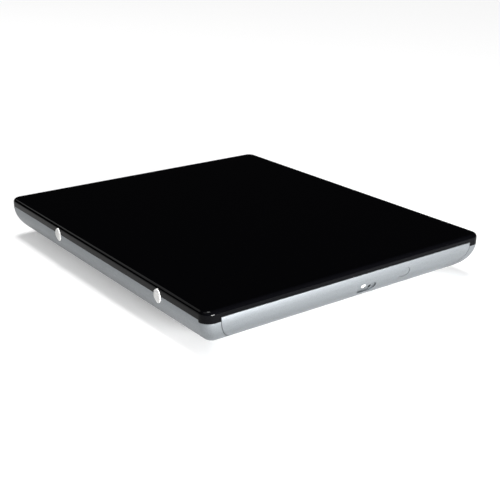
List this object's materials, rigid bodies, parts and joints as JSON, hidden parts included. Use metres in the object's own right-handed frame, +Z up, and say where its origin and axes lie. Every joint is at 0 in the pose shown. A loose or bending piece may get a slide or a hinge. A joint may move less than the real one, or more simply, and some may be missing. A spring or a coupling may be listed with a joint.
{
  "type": "portable DVD writer drive",
  "caption": "Slim portable DVD writer, glossy black over a silver hull, with a tray that slides out of the front on telescopic rails.",
  "frame": {"origin": "on the table under the middle of the case", "axes": "+Z up, the tray opens towards -Y, +X to the right seen from the front"},
  "size_m": [0.1485, 0.172, 0.02],
  "materials": {
    "gloss_black": "gloss",
    "silver_paint": "satin",
    "white_plastic": "satin",
    "black_rubber": "matte",
    "zinc_steel": "satin",
    "bright_steel": "polished",
    "black_plastic": "matte",
    "cast_alloy": "satin",
    "green_board": "satin",
    "chip_black": "matte",
    "cable_film": "satin",
    "clear_plastic": "gloss",
    "lens_glass": "polished",
    "ivory_plastic": "satin",
    "copper_wire": "satin"
  },
  "bodies": {
    "case": {"top_cover": "gloss_black", "bottom_cover": "silver_paint", "rubber_feet": "black_rubber", "side_pads": "white_plastic", "case_screws": "zinc_steel", "drive_screws": "zinc_steel", "drive_pan": "zinc_steel", "drive_top_plate": "zinc_steel", "top_plate_screws": "zinc_steel", "slide_guide_left": "zinc_steel", "slide_guide_right": "zinc_steel", "latch_post": "bright_steel", "connector_board": "green_board", "drive_connectors": "black_plastic", "flat_cable": "cable_film", "bridge_board": "green_board", "board_screws": "zinc_steel", "bridge_chips": "chip_black", "bridge_connector": "black_plastic", "usb_socket": "zinc_steel", "power_jack": "black_plastic"},
    "tray": {"tray": "black_plastic", "tray_bottom_plate": "zinc_steel", "bezel": "silver_paint", "light_guide": "clear_plastic", "front_board": "green_board", "eject_switch": "black_plastic", "indicator_light": "white_plastic", "tray_board": "green_board", "tray_chips": "chip_black", "latch_solenoid": "zinc_steel", "ejector_rod": "ivory_plastic", "ejector_spring": "bright_steel", "traverse_frame": "cast_alloy", "dampers": "black_rubber", "damper_screws": "zinc_steel", "guide_rod_main": "bright_steel", "guide_rod_aux": "bright_steel", "sled_motor": "zinc_steel", "screw_bearing": "ivory_plastic", "motor_base": "zinc_steel", "motor_stator": "copper_wire"},
    "rail_left": {"slide_rail_left": "bright_steel"},
    "rail_right": {"slide_rail_right": "bright_steel"},
    "eject_button": {"eject_button": "silver_paint"},
    "spindle": {"spindle_rotor": "zinc_steel", "disc_hub": "black_plastic", "friction_ring": "black_rubber"},
    "claw_1": {"disc_claw_1": "ivory_plastic"},
    "claw_2": {"disc_claw_2": "ivory_plastic"},
    "claw_3": {"disc_claw_3": "ivory_plastic"},
    "pickup": {"pickup_body": "cast_alloy", "pickup_shield": "zinc_steel", "actuator_magnets": "zinc_steel", "screw_follower": "ivory_plastic"},
    "objective": {"lens_holder": "black_plastic", "lens": "lens_glass"},
    "lead_screw": {"lead_screw": "bright_steel"},
    "latch": {"latch_lever": "ivory_plastic"}
  },
  "joints": [
    {"name": "tray_slide", "type": "slide", "parent": "case", "child": "tray", "axis": [0, -1, 0], "range_m": [0, 0.131], "deforming": ["flat_cable"]},
    {"name": "rail_left_slide", "type": "slide", "parent": "case", "child": "rail_left", "axis": [0, -1, 0], "range_m": [0, 0.0655]},
    {"name": "rail_right_slide", "type": "slide", "parent": "case", "child": "rail_right", "axis": [0, -1, 0], "range_m": [0, 0.0655]},
    {"name": "eject_button_press", "type": "slide", "parent": "tray", "child": "eject_button", "axis": [0, 1, 0], "range_m": [0, 0.0004], "stiffness_N_per_m": 800},
    {"name": "spindle_spin", "type": "hinge", "parent": "tray", "child": "spindle", "pos_m": [0, -0.016, 0.01], "axis": [0, 0, 1], "continuous": true},
    {"name": "claw_1_press", "type": "slide", "parent": "spindle", "child": "claw_1", "axis": [0, -1, 0], "range_m": [0, 0.0006], "stiffness_N_per_m": 200},
    {"name": "claw_2_press", "type": "slide", "parent": "spindle", "child": "claw_2", "axis": [0.866, 0.5, 0], "range_m": [0, 0.0006], "stiffness_N_per_m": 200},
    {"name": "claw_3_press", "type": "slide", "parent": "spindle", "child": "claw_3", "axis": [-0.866, 0.5, 0], "range_m": [0, 0.0006], "stiffness_N_per_m": 200},
    {"name": "pickup_travel", "type": "slide", "parent": "tray", "child": "pickup", "axis": [-0.7071, -0.7071, 0], "range_m": [0, 0.035]},
    {"name": "lead_screw_spin", "type": "hinge", "parent": "tray", "child": "lead_screw", "pos_m": [-0.01485, -0.00115, 0.0089], "axis": [-0.7071, -0.7071, 0], "range_deg": [0, 4200]},
    {"name": "lens_focus", "type": "slide", "parent": "pickup", "child": "objective", "axis": [0, 0, 1], "range_m": [-0.0004, 0.0004], "stiffness_N_per_m": 40},
    {"name": "latch_turn", "type": "hinge", "parent": "tray", "child": "latch", "pos_m": [0.0415, -0.059, 0.007], "axis": [0, 0, 1], "range_deg": [0, 8]}
  ],
  "couplings": [
    {"joint": "rail_left_slide", "follows": "tray_slide", "ratio": 0.5},
    {"joint": "rail_right_slide", "follows": "tray_slide", "ratio": 0.5},
    {"joint": "claw_2_press", "follows": "claw_1_press", "ratio": 1},
    {"joint": "claw_3_press", "follows": "claw_1_press", "ratio": 1},
    {"joint": "lead_screw_spin", "follows": "pickup_travel", "rad_per_m": 2094.4}
  ]
}
